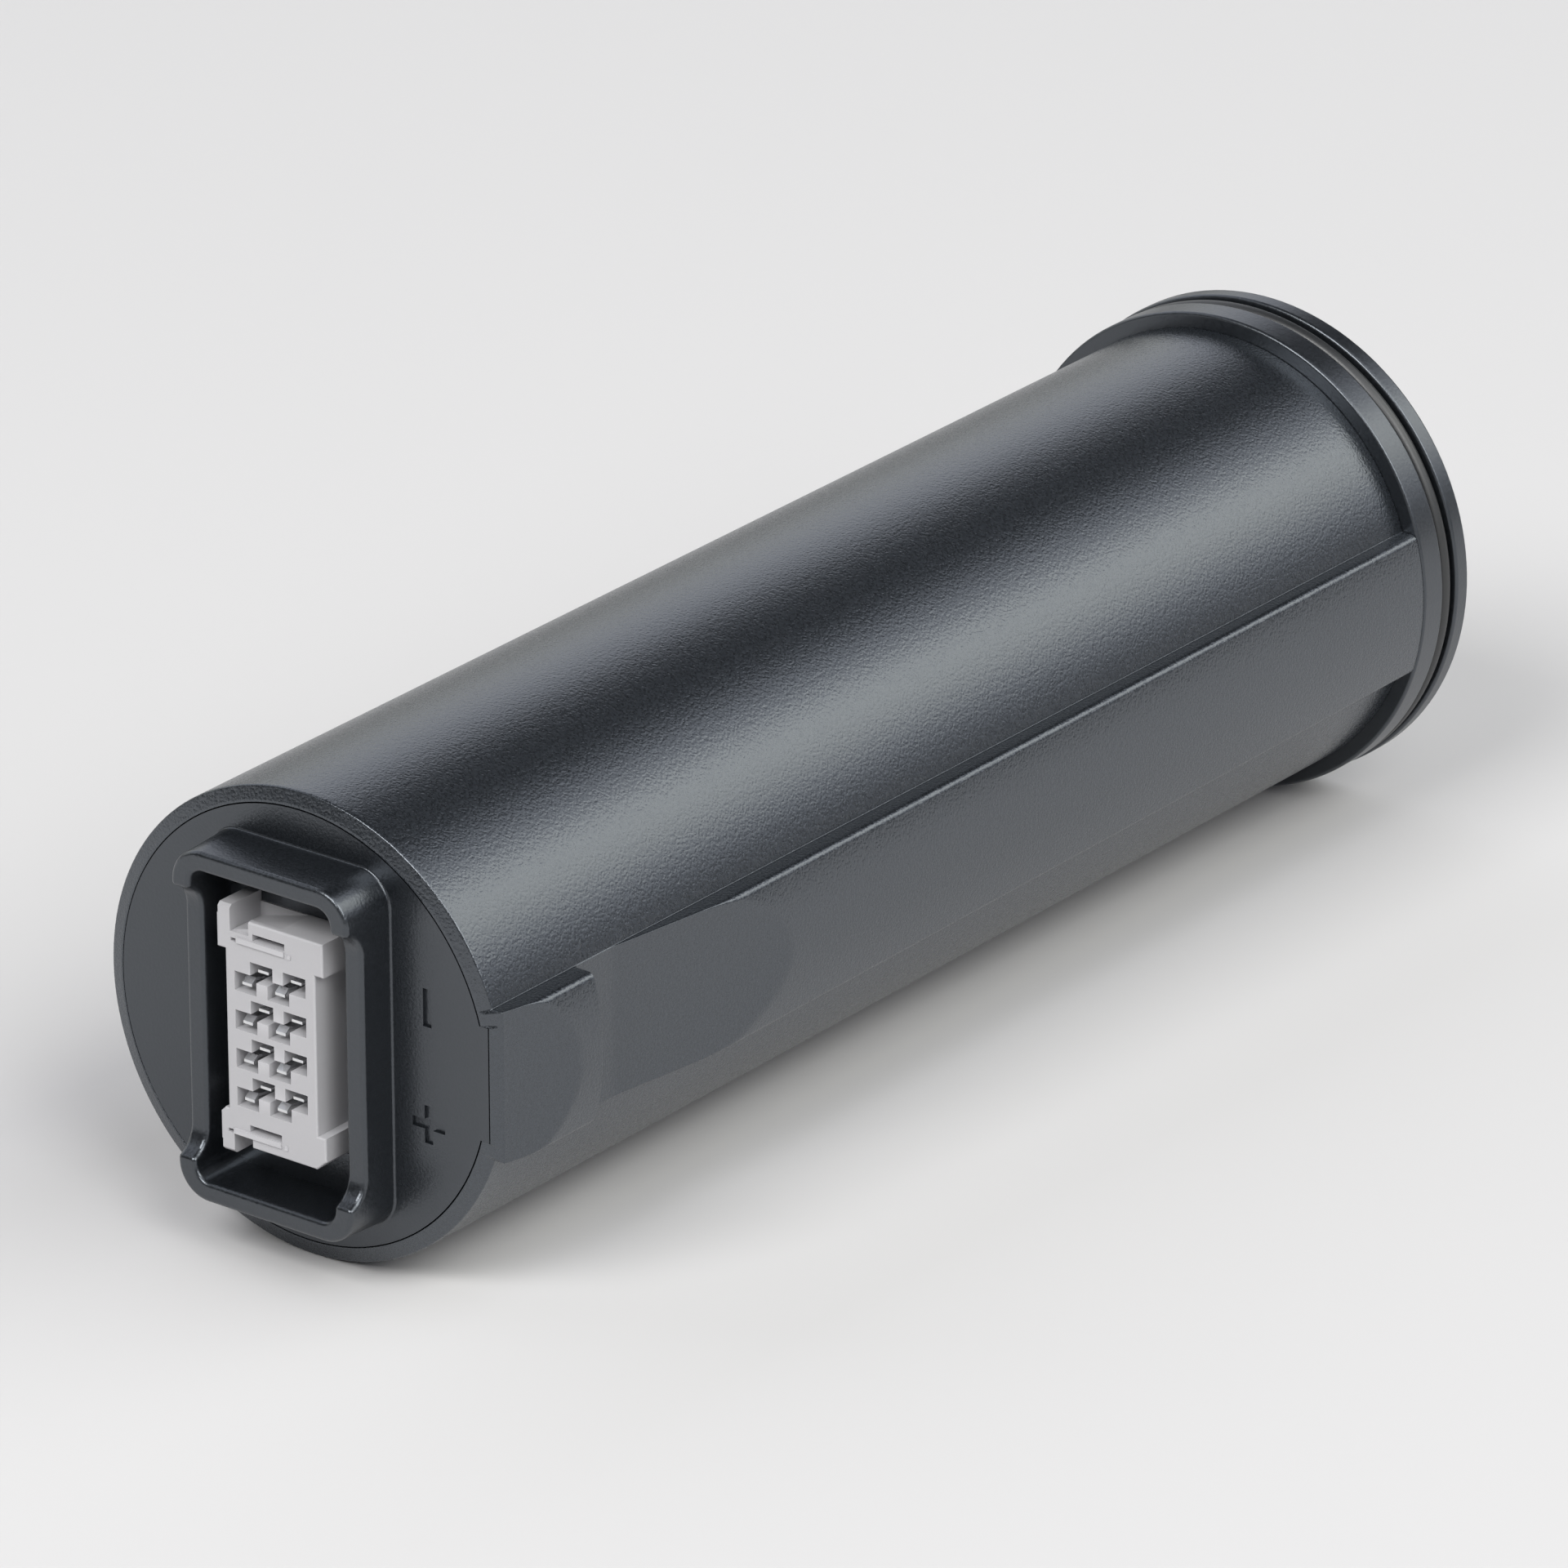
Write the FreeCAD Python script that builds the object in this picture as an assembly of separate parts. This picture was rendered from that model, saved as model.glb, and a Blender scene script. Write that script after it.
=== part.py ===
import FreeCAD, Part
import math
import os

# Cylindrical battery pack that slides into a round tube. Its plug-in connector is at the front,
# its sealing flange at the rear, and a key rail with a latch notch runs along one side.
# Millimetres. The origin is on the pack's axis in the plane of the front face; +Y runs to the
# rear flange, +X points to the key rail and +Z is up.

Vector = FreeCAD.Vector

# ---- housing tube -------------------------------------------------------------------------------
TUBE_FRONT_Y = 0.6            # outer edge of the front rim, set back from the front face
TUBE_FRONT_R = 35.0
TUBE_DRAFT = 0.004            # growth of the outer radius for each millimetre to the rear
TUBE_END_Y = 221.4
TUBE_BORE_R = 32.2
RIM_EDGE_R = 0.35
RIM_INNER_Y = 0.48             # the rim's front slopes back from the seat to its outer edge

# ---- key rail -----------------------------------------------------------------------------------
RAIL_R = 38.2                 # the rail's face is part of a cylinder about the pack's axis
RAIL_HALF = 11.35
RAIL_ROOT_X = 32.6
RAIL_EDGE_R = 1.2
RAMP_FOOT_X = 34.85           # the lead-in ramp starts here, at the front edge
CREST_Y = 13.9
STEP_Y = 18.5                 # sharp step that the latch bolt bears on
NOTCH_FLOOR_X = 33.3
NOTCH_END_Y = 26.9
RAMP_END_Y = 61.8

# ---- front cover --------------------------------------------------------------------------------
COVER_R = 32.45
COVER_T = 2.5
SEAT_R = 32.6                 # the tube's counterbore around the cover
KEY_TAB_X = 32.8
KEY_TAB_HALF = 8.6
SEAM = 0.12                   # gap between separate pieces that fit into each other
SKIRT_R = 32.05
SKIRT_WALL = 1.2
SKIRT_END_Y = 5.9
LAP = 0.2                      # how far solids that join run into each other
BOSS_R = 2.4
BOSS_X = 20.5
BOSS_Z = 18.5
SIGN_DEPTH = 0.5
SIGN_X = 22.2
SIGN_Z = 8.8
SIGN_LONG = 5.7
SIGN_WIDE = 1.45

# ---- plug shroud --------------------------------------------------------------------------------
HOOD_Y = -9.0
SIDE_RIM_Y = -6.0
SHROUD_HALF_W = 15.6
SHROUD_HALF_H = 26.5
SHROUD_FLARE = 0.35           # how much wider the shroud is at its foot
SHROUD_CORNER_R = 5.2
CAVITY_HALF_W = 12.45
CAVITY_HALF_H = 23.6
CAVITY_CORNER_R = 2.4
HOOD_END_Z = 20.5
HOOD_FOOT_Z = 16.5
HOOD_CORNER_R = 0.75
SHROUD_EDGE_R = 0.7
SHROUD_FOOT_R = 0.35

# ---- connector ----------------------------------------------------------------------------------
FACE_Y = -6.8
BLOCK_HALF_W = 7.95
BLOCK_HALF_H = 12.1
BLOCK_END_Y = 5.9
FACE_EDGE_R = 0.3
FOOT_Y = 2.62
FOOT_T = 1.5
FOOT_HALF_W = 10.2
FOOT_HALF_H = 19.6
PITCH = 5.85
CONTACT_COLUMNS = 2
CONTACT_ROWS = 4
ROOM_X = (-0.6, 3.4)          # high room of a contact cavity; the low room is nearly its half turn
ROOM_Z = (-0.5, 2.42)
LOW_ROOM_X = (-3.4, 0.47)
LOW_ROOM_Z = (-2.5, 0.4)
ROOM_END_Y = 1.5
BLADE_X = (0.52, 2.38)
BLADE_Z = 1.27
LEAF_X = (-2.36, -0.65)
LEAF_T = 0.42
CONTACT_TIP_Y = -6.4
LEAF_BENDS = ((-6.4, -1.31), (-5.45, -0.64), (-1.2, -1.35), (2.0, -1.15))
BASE_HALF_W = 2.45
BASE_HALF_H = 1.6
BASE_FIT = 0.05
TAIL_HALF = 0.45
TAIL_END_Y = 8.8
BASE_STAND = 0.1               # the base's clearance from the end of its cavity
BASE_SLOT_LAP = 0.5
BLADE_LAP = 0.4

# ---- connector's end blocks ---------------------------------------------------------------------
END_HALF_W = 9.4
END_Z = 17.15
END_CUT_W = 1.7               # bevel at the rail side of the lower end block
END_CUT_H = 1.5
END_BACK_CUT = 0.8            # bevel at the far side of the lower end block
POST_Z = 18.8
POST_X = (-9.1, -7.0)
POST_TOP_CUT = 0.5
DIP_X = (-7.0, -3.7)          # dip beside the post, open to the front
DIP_SET_BACK = 0.55
DIP_FLOOR_Z = 15.0
DIP_RISE_X = 1.5              # where the dip's sloping floor meets the block's outer face
DIP_WALL_Y = 0.9              # the lip left standing behind the front face
DIP_OPENING_RISE = 0.9         # how much the floor of the dip's opening rises towards the lip
DIP_OPENING_T = 1.1
LATCH_SHIFT_X = -1.15         # the lower end block carries the same latch, shifted, not mirrored
LATCH_SHIFT_Z = -29.2
LATCH_SLOT_X = (-3.0, 2.7)
LATCH_SLOT_Z = (14.45, 15.5)
LATCH_SLOT_T = 2.1
LATCH_BAR_X = (-5.7, 2.7)
LATCH_BAR_Z = (13.6, 14.4)
LATCH_BAR_PROUD = 0.3
LATCH_HOLE_X = (-6.9, -6.0)
LATCH_HOLE_Z = (13.55, 14.05)
LATCH_HOLE_T = 1.5
LATCH_NUB_X = (3.3, 3.85)
LATCH_NUB_Z = (13.5, 14.1)
LATCH_NUB_PROUD = 0.2
LATCH_ROOT = 0.5               # how far the bar, the nub and the post run into the block

# ---- protection board ---------------------------------------------------------------------------
BOARD_Y = 6.0
BOARD_T = 1.6
BOARD_R = 31.4
BOARD_SCREW_R = 0.95
BOARD_SCREW_FIT_R = 1.35
BOARD_SCREW_Y = 2.2
BOARD_SCREW_HEAD_R = 2.0
BOARD_SCREW_HEAD_T = 1.3
CROSS_RECESS = (1.1, 0.25)     # half length and half width of the recess in the head
CROSS_RECESS_Y = 0.6
PILOT_Y = 1.6
TAIL_HOLE_FIT = 0.1
SWITCHES = 4
SWITCH_PITCH = 7.2
SWITCH_X = (-20.6, -15.4)
SWITCH_HALF_L = 3.0
SWITCH_T = 1.0
SWITCH_TAB_X = (-21.8, -20.6)
SWITCH_TAB_HALF_L = 2.2
SWITCH_TAB_T = 0.3
CHIP_X = (-14.5, -7.5)
CHIP_Z = (14.5, 21.5)
CHIP_STAND = 0.1
CHIP_T = 1.0
CHIP_LEADS = 8
CHIP_LEAD_PITCH = 0.8
CHIP_LEAD_X = (-15.6, -6.4)
CHIP_LEAD_HALF_W = 0.18
CHIP_LEAD_T = 0.4
FUSE_X = (14.8, 21.2)
FUSE_Z = (4.2, 7.8)
FUSE_T = 2.4
FUSE_STAND = 0.1
FUSE_CAP_X = ((13.6, 15.6), (20.4, 22.4))
FUSE_CAP_Z = (4.0, 8.0)
FUSE_CAP_T = 2.6

# ---- cells --------------------------------------------------------------------------------------
CELL_R = 10.5
CELL_LENGTH = 70.0
CELL_NOSE = (                  # the positive end: terminal, gasket, crimped lip and bead
    (0, 0), (4.2, 0), (4.6, 0.5), (7.2, 0.7), (8.9, 0.35), (10.0, 0.35), (10.5, 0.9),
    (10.5, 3.2), (9.8, 3.9), (10.5, 4.6),
)
CELL_FOOT_EDGE = 0.6
CELL_PITCH = 21.5
LAYERS = 3
LAYER_NAMES = "abc"
STACK_Y = 11.0
BUS_T = 0.3
BUS_PAD_R = 7.2
BUS_ARM_W = 5.0
BUS_SLIT = (0.4, 2.5)          # half width and half length of a pad's weld slit
BUS_TAB_ROOT_R = 17.2
HOLDER_T = 6.0
HOLDER_R = 31.6
HOLDER_FIT = 0.03
HOLDER_INSET = 1.0             # from the end of the cells
INSULATOR_T = 0.5
INSULATOR_R = 31.9
WIREWAY_R = 3.0
WIREWAY_CENTRE_R = 31.2
STRAP_R = 30.0
STRAP_W = 4.0
STRAP_T = 0.5
STRAP_TAB = 4.0
STRAP_REAR_TAB = 13.0
LEAD_R = 0.65
LEAD_CENTRE_R = 29.6
BEAD_R = 1.5
BEAD_Y = (-1, 5)               # the temperature bead's ends, from the middle of its layer
BEAD_ANGLE = 150
FOAM_FIT = 0.4
RETURN_ANGLE = 30
SUPPLY_ANGLE = 210
SENSE_AB_ANGLE = 90
SENSE_BC_ANGLE = 270

# ---- rear flange --------------------------------------------------------------------------------
COLLAR_R = 38.4
COLLAR_Y = 221.5
COLLAR_GROOVE_Y = 226.6
COLLAR_END_Y = 229.8
COLLAR_BORE_R = 34.5
COLLAR_WEB_Y = 226.5
COLLAR_WEB_R = 28.6
GROOVE_FLOOR_R = 35.9
SEAL_CORD_R = 1.2
END_CAP_R = 38.66
END_CAP_Y = 229.9
END_CAP_END_Y = 233.07
PLUG_R = 28.5
FLANGE_EDGE_R = 0.5
SCREW_CIRCLE_R = 31.6
SCREWS = 6
SCREW_R = 1.25
SCREW_HEAD_R = 2.6
SCREW_HEAD_T = 1.4
SOCKET_R = 0.95
SOCKET_FLOOR = 0.3
SCREW_HOLE_FIT = 0.15
SCREW_SET_BACK = 0.1           # the screw heads sit this far below the disc's face
SCREW_END_Y = 227.0

ALONG_Y = Vector(0, 1, 0)


# ---- shared shapes ------------------------------------------------------------------------------
def box(x0, x1, y0, y1, z0, z1):
    """A box between two opposite corners."""
    corner = Vector(min(x0, x1), min(y0, y1), min(z0, z1))
    return Part.makeBox(abs(x1 - x0), abs(y1 - y0), abs(z1 - z0), corner)


def spans(x_span, y0, y1, z_span, shift=(0, 0)):
    """A box from its spans in X and Z, shifted in X and Z."""
    dx, dz = shift
    return box(x_span[0] + dx, x_span[1] + dx, y0, y1, z_span[0] + dz, z_span[1] + dz)


def rod(radius, y0, y1, x=0.0, z=0.0):
    """A cylinder that lies along Y."""
    return Part.makeCylinder(radius, y1 - y0, Vector(x, y0, z), ALONG_Y)


def ring(outer, inner, y0, y1):
    """A ring about the pack's axis."""
    return rod(outer, y0, y1).cut(rod(inner, y0 - 1, y1 + 1))


def turned(profile):
    """A solid of revolution about Y, from a closed list of (radius, y) points."""
    points = [Vector(r, y, 0) for r, y in profile]
    face = Part.Face(Part.makePolygon(points + points[:1]))
    return face.revolve(Vector(0, 0, 0), ALONG_Y, 360)


def extruded(points, direction):
    """A prism on a closed outline."""
    return Part.Face(Part.makePolygon(points + points[:1])).extrude(direction)


def rounded_outline(half_w, half_h, radius, y):
    """A rounded rectangle in the XZ plane at y."""
    corners = [(1, 1, 0), (-1, 1, 90), (-1, -1, 180), (1, -1, 270)]
    arcs = []
    for sx, sz, start in corners:
        centre_x = sx * (half_w - radius)
        centre_z = sz * (half_h - radius)
        points = []
        for angle in (start, start + 45, start + 90):
            dx, dz = polar(radius, angle)
            points.append(Vector(centre_x + dx, y, centre_z + dz))
        arcs.append(Part.Arc(*points).toShape())
    edges = []
    for i, arc in enumerate(arcs):
        following = arcs[(i + 1) % len(arcs)]
        edges.append(arc)
        edges.append(Part.makeLine(arc.Vertexes[-1].Point, following.Vertexes[0].Point))
    return Part.Wire(edges)


def polar(radius, degrees):
    """The (x, z) of a point at a radius and an angle from +X."""
    turn = math.radians(degrees)
    return radius * math.cos(turn), radius * math.sin(turn)


def turned_about_axis(shape, degrees):
    """A copy turned about the pack's axis, positive from +X to +Z."""
    copy = shape.copy()
    copy.rotate(Vector(0, 0, 0), ALONG_Y, -degrees)
    return copy


def save(name, shape):
    if not shape.isValid():
        raise ValueError(name + " isn't a valid shape")
    shape.exportStep("parts/" + name + ".step")


# ---- housing ------------------------------------------------------------------------------------
def rail():
    """The key rail: a sector of a larger cylinder, with a lead-in ramp, a step and a long notch."""
    y_range = (TUBE_FRONT_Y, TUBE_END_Y)
    sector = rod(RAIL_R, *y_range).common(box(RAIL_ROOT_X, RAIL_R + 1, *y_range, -RAIL_HALF, RAIL_HALF))
    edge_x = math.sqrt(RAIL_R ** 2 - RAIL_HALF ** 2)
    long_edges = []
    for edge in sector.Edges:
        middle = edge.CenterOfMass
        on_edge = abs(middle.x - edge_x) < 0.01 and abs(abs(middle.z) - RAIL_HALF) < 0.01
        if on_edge and edge.Length > 100:
            long_edges.append(edge)
    sector = sector.makeFillet(RAIL_EDGE_R, long_edges)
    over = RAIL_R + 2
    ramp_slope = (RAIL_R - RAMP_FOOT_X) / (CREST_Y - TUBE_FRONT_Y)
    lead_in = [
        (RAMP_FOOT_X - ramp_slope, TUBE_FRONT_Y - 1),
        (over, TUBE_FRONT_Y - 1),
        (over, CREST_Y + (over - RAIL_R) / ramp_slope),
    ]
    rise = (RAIL_R - NOTCH_FLOOR_X) / (RAMP_END_Y - NOTCH_END_Y)
    notch = [
        (over, STEP_Y),
        (NOTCH_FLOOR_X, STEP_Y),
        (NOTCH_FLOOR_X, NOTCH_END_Y),
        (over, RAMP_END_Y + (over - RAIL_R) / rise),
    ]
    cutters = []
    for outline in (lead_in, notch):
        points = [Vector(x, y, -RAIL_HALF - 5) for x, y in outline]
        cutters.append(extruded(points, Vector(0, 0, 2 * RAIL_HALF + 10)))
    return sector, cutters


def housing_tube():
    """The drafted tube, its rail and the seat for the cover."""
    end_r = TUBE_FRONT_R + TUBE_DRAFT * (TUBE_END_Y - TUBE_FRONT_Y)
    spigot_r = COLLAR_BORE_R - SEAM / 2
    body = turned([
        (0, 0), (SEAT_R, 0), (TUBE_FRONT_R - RIM_EDGE_R, RIM_INNER_Y),
        (TUBE_FRONT_R, TUBE_FRONT_Y + RIM_EDGE_R), (end_r, TUBE_END_Y),
        (spigot_r, TUBE_END_Y), (spigot_r, COLLAR_WEB_Y - SEAM), (0, COLLAR_WEB_Y - SEAM),
    ])
    sector, cutters = rail()
    body = body.fuse(sector)
    for cutter in cutters:
        body = body.cut(cutter)
    body = body.cut(rod(TUBE_BORE_R, -1, COLLAR_WEB_Y + 1))
    body = body.cut(rod(SEAT_R, -1, COVER_T + SEAM))
    tab_half = KEY_TAB_HALF + SEAM
    body = body.cut(box(0, KEY_TAB_X + SEAM, -1, COVER_T + SEAM, -tab_half, tab_half))
    return body.removeSplitter()


# ---- front cover --------------------------------------------------------------------------------
def shroud():
    """The plug shroud: a drafted rectangular wall, cut low along its sides between two hoods."""
    foot = rounded_outline(SHROUD_HALF_W + SHROUD_FLARE, SHROUD_HALF_H + SHROUD_FLARE, SHROUD_CORNER_R, 0.5)
    top = rounded_outline(SHROUD_HALF_W, SHROUD_HALF_H, SHROUD_CORNER_R, HOOD_Y)
    wall = Part.makeLoft([foot, top], True, True)
    hollow = Part.Face(rounded_outline(CAVITY_HALF_W, CAVITY_HALF_H, CAVITY_CORNER_R, HOOD_Y - 1))
    wall = wall.cut(hollow.extrude(Vector(0, 1 - HOOD_Y, 0)))
    drop = SIDE_RIM_Y - HOOD_Y
    reach = HOOD_END_Z - HOOD_FOOT_Z
    curve_r = (reach ** 2 + drop ** 2) / (2 * drop)
    half_turn = math.asin(reach / curve_r) / 2
    x0 = -SHROUD_HALF_W - 5
    edges = []
    middle_z = HOOD_FOOT_Z + curve_r * math.sin(half_turn)
    middle_y = SIDE_RIM_Y - curve_r * (1 - math.cos(half_turn))
    for side in (1, -1):
        start = Vector(x0, SIDE_RIM_Y, side * HOOD_FOOT_Z)
        middle = Vector(x0, middle_y, side * middle_z)
        end = Vector(x0, HOOD_Y, side * HOOD_END_Z)
        above = Vector(x0, HOOD_Y - 3, side * HOOD_END_Z)
        edges.append(Part.Arc(start, middle, end).toShape())
        edges.append(Part.makeLine(end, above))
    edges.append(Part.makeLine(Vector(x0, SIDE_RIM_Y, HOOD_FOOT_Z), Vector(x0, SIDE_RIM_Y, -HOOD_FOOT_Z)))
    edges.append(Part.makeLine(Vector(x0, HOOD_Y - 3, HOOD_END_Z), Vector(x0, HOOD_Y - 3, -HOOD_END_Z)))
    outline = Part.Wire(Part.__sortEdges__(edges))
    saddle = Part.Face(outline).extrude(Vector(-2 * x0, 0, 0))
    wall = wall.cut(saddle)
    corners = []
    for edge in wall.Edges:
        middle = edge.CenterOfMass
        across = edge.BoundBox.XLength > 2 and edge.BoundBox.ZLength < 0.01
        if across and middle.y < HOOD_Y + 0.01 and abs(abs(middle.z) - HOOD_END_Z) < 0.01:
            corners.append(edge)
    wall = wall.makeFillet(HOOD_CORNER_R, corners)
    rim = []
    for edge in wall.Edges:
        span = edge.BoundBox
        across = 2.5 < span.XLength < 4 and span.ZLength < 0.01
        if span.YMax < SIDE_RIM_Y + 0.01 and not across:
            rim.append(edge)
    return wall.makeFillet(SHROUD_EDGE_R, rim)


def sign_bars():
    """The minus and plus marks, raised solids to be cut into the plate."""
    half = SIGN_LONG / 2
    wide = SIGN_WIDE / 2
    minus = box(SIGN_X - wide, SIGN_X + wide, -1, SIGN_DEPTH, SIGN_Z - half, SIGN_Z + half)
    plus = box(SIGN_X - wide, SIGN_X + wide, -1, SIGN_DEPTH, -SIGN_Z - half, -SIGN_Z + half)
    cross = box(SIGN_X - half, SIGN_X + half, -1, SIGN_DEPTH, -SIGN_Z - wide, -SIGN_Z + wide)
    return [minus, plus, cross]


def window():
    """The opening in the cover for the connector's block, its end blocks and their posts."""
    gap = SEAM
    y_range = (-1, COVER_T + 1)
    half_w = BLOCK_HALF_W + gap
    opening = box(-half_w, half_w, *y_range, -BLOCK_HALF_H, BLOCK_HALF_H)
    for side in (1, -1):
        end_w = END_HALF_W + gap
        end = box(-end_w, end_w, *y_range, side * (BLOCK_HALF_H - gap), side * (END_Z + gap))
        post = box(POST_X[0] - gap, POST_X[1] + gap, *y_range, side * END_Z, side * (POST_Z + gap))
        opening = opening.fuse(end).fuse(post)
    return opening


def boss_places():
    return [(sx * BOSS_X, sz * BOSS_Z) for sx in (1, -1) for sz in (1, -1)]


def footed(cover):
    """Rounds the corner all round between the shroud's outside and the plate."""
    foot = []
    for edge in cover.Edges:
        span = edge.BoundBox
        in_plate = abs(span.YMin) < 0.01 and abs(span.YMax) < 0.01
        inside = max(abs(span.XMin), abs(span.XMax)) < SHROUD_HALF_W + 1
        outside = max(abs(span.XMin), abs(span.XMax)) > CAVITY_HALF_W + 0.5
        if in_plate and inside and (outside or max(abs(span.ZMin), abs(span.ZMax)) > CAVITY_HALF_H + 0.5):
            foot.append(edge)
    return cover.makeFillet(SHROUD_FOOT_R, foot)


def front_cover():
    """The inset plate with its key tab, shroud, polarity marks, skirt and four screw bosses."""
    plate = rod(COVER_R, 0, COVER_T)
    plate = plate.fuse(box(0, KEY_TAB_X, 0, COVER_T, -KEY_TAB_HALF, KEY_TAB_HALF))
    cover = footed(plate.fuse(shroud()).removeSplitter())
    cover = cover.fuse(ring(SKIRT_R, SKIRT_R - SKIRT_WALL, COVER_T - LAP, SKIRT_END_Y))
    for x, z in boss_places():
        cover = cover.fuse(rod(BOSS_R, COVER_T - LAP, BOARD_Y, x, z))
        cover = cover.cut(rod(BOARD_SCREW_R, PILOT_Y, BOARD_Y + 1, x, z))
    for bar in sign_bars():
        cover = cover.cut(bar)
    return cover.cut(window()).removeSplitter()


# ---- connector ----------------------------------------------------------------------------------
def contact_places():
    """The centres of the contact cavities, from the top left."""
    places = []
    for row in range(CONTACT_ROWS):
        for column in range(CONTACT_COLUMNS):
            x = PITCH * (column - (CONTACT_COLUMNS - 1) / 2)
            z = PITCH * ((CONTACT_ROWS - 1) / 2 - row)
            places.append((x, z))
    return places


def contact_cavity(x, z):
    """A stepped cavity: a low room on the left opens into a high room on the right."""
    y_range = (FACE_Y - 1, ROOM_END_Y)
    low = spans(LOW_ROOM_X, *y_range, LOW_ROOM_Z, (x, z))
    high = spans(ROOM_X, *y_range, ROOM_Z, (x, z))
    half_w = BASE_HALF_W + BASE_FIT
    half_h = BASE_HALF_H + BASE_FIT
    slot_y = (ROOM_END_Y - BASE_SLOT_LAP, BLOCK_END_Y + 1)
    slot = box(x - half_w, x + half_w, *slot_y, z - half_h, z + half_h)
    return low.fuse(high).fuse(slot)


def contact(x, z):
    """A sprung contact: a straight blade, a leaf bent down at its tip, a base and a solder tail."""
    half_t = LEAF_T / 2
    at = (x, z)
    base_y = ROOM_END_Y + BASE_STAND
    blade_z = (BLADE_Z - half_t, BLADE_Z + half_t)
    base_span = (-BASE_HALF_W, BASE_HALF_W)
    base = spans(base_span, base_y, BLOCK_END_Y, (-BASE_HALF_H, BASE_HALF_H), at)
    blade = spans(BLADE_X, CONTACT_TIP_Y, base_y + BLADE_LAP, blade_z, at)
    lower = [Vector(x + LEAF_X[0], y, z + dz - half_t) for y, dz in LEAF_BENDS]
    upper = [Vector(x + LEAF_X[0], y, z + dz + half_t) for y, dz in reversed(LEAF_BENDS)]
    leaf = extruded(lower + upper, Vector(LEAF_X[1] - LEAF_X[0], 0, 0))
    tail_span = (-TAIL_HALF, TAIL_HALF)
    tail = spans(tail_span, BLOCK_END_Y - LAP, TAIL_END_Y, tail_span, at)
    return base.fuse(blade).fuse(leaf).fuse(tail).removeSplitter()


def connector_outline():
    """The block and its two wider end blocks, as one closed outline in (x, z)."""
    return [
        (BLOCK_HALF_W, BLOCK_HALF_H), (END_HALF_W, BLOCK_HALF_H), (END_HALF_W, END_Z),
        (-END_HALF_W, END_Z), (-END_HALF_W, BLOCK_HALF_H), (-BLOCK_HALF_W, BLOCK_HALF_H),
        (-BLOCK_HALF_W, -BLOCK_HALF_H), (END_BACK_CUT - END_HALF_W, -BLOCK_HALF_H),
        (-END_HALF_W, -BLOCK_HALF_H - END_BACK_CUT), (-END_HALF_W, -END_Z),
        (END_HALF_W - END_CUT_W, -END_Z), (END_HALF_W, END_CUT_H - END_Z),
        (END_HALF_W, -BLOCK_HALF_H), (BLOCK_HALF_W, -BLOCK_HALF_H),
    ]


def latched(body, shift):
    """Cuts the latch slot and hole of an end block and adds its bar and nub."""
    body = body.cut(spans(LATCH_SLOT_X, FACE_Y - 1, FACE_Y + LATCH_SLOT_T, LATCH_SLOT_Z, shift))
    body = body.cut(spans(LATCH_HOLE_X, FACE_Y - 1, FACE_Y + LATCH_HOLE_T, LATCH_HOLE_Z, shift))
    body = body.fuse(spans(LATCH_BAR_X, FACE_Y - LATCH_BAR_PROUD, FACE_Y + LATCH_ROOT, LATCH_BAR_Z, shift))
    return body.fuse(spans(LATCH_NUB_X, FACE_Y - LATCH_NUB_PROUD, FACE_Y + LATCH_ROOT, LATCH_NUB_Z, shift))


def post(side):
    """The post on an end block, with its outer front edge cut back."""
    top = side * POST_Z
    cut = side * (POST_Z - POST_TOP_CUT)
    root = side * (END_Z - LATCH_ROOT)
    outline = [
        (FACE_Y, root), (FACE_Y, cut), (FACE_Y + POST_TOP_CUT, top),
        (BLOCK_END_Y, top), (BLOCK_END_Y, root),
    ]
    points = [Vector(POST_X[0], y, z) for y, z in outline]
    return extruded(points, Vector(POST_X[1] - POST_X[0], 0, 0))


def dip(side):
    """The dip beside a post: a sloping trough behind the lip, open to the front near the post."""
    over = side * (END_Z + 1)
    floor = side * DIP_FLOOR_Z
    left, right = DIP_X
    trough_y = FACE_Y + DIP_WALL_Y
    trough = [(left, floor), (DIP_RISE_X, side * END_Z), (DIP_RISE_X, over), (left, over)]
    points = [Vector(x, trough_y, z) for x, z in trough]
    trough_shape = extruded(points, Vector(0, -trough_y - SEAM, 0))
    gap = box(left, right, FACE_Y - 1, FACE_Y + DIP_SET_BACK, floor, over)
    rise_z = side * (DIP_FLOOR_Z + DIP_OPENING_RISE)
    gap_floor = [(left, floor), (right, rise_z), (right, over), (left, over)]
    points = [Vector(x, FACE_Y - 1, z) for x, z in gap_floor]
    opening = extruded(points, Vector(0, DIP_OPENING_T + 1, 0))
    return trough_shape.fuse(gap).fuse(opening)


def connector_housing():
    """The moulded insulator: eight cavities, an end block with a latch at both ends, and a foot."""
    points = [Vector(x, FACE_Y, z) for x, z in connector_outline()]
    body = extruded(points, Vector(0, BLOCK_END_Y - FACE_Y, 0))
    face_edges = [edge for edge in body.Edges if edge.BoundBox.YMax < FACE_Y + 0.01]
    body = body.makeFillet(FACE_EDGE_R, face_edges)
    for side in (1, -1):
        body = body.cut(dip(side)).fuse(post(side))
    body = body.fuse(box(-FOOT_HALF_W, FOOT_HALF_W, FOOT_Y, FOOT_Y + FOOT_T, -FOOT_HALF_H, FOOT_HALF_H))
    for x, z in contact_places():
        body = body.cut(contact_cavity(x, z))
    body = latched(body, (0, 0))
    body = latched(body, (LATCH_SHIFT_X, LATCH_SHIFT_Z))
    return body.removeSplitter()


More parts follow.
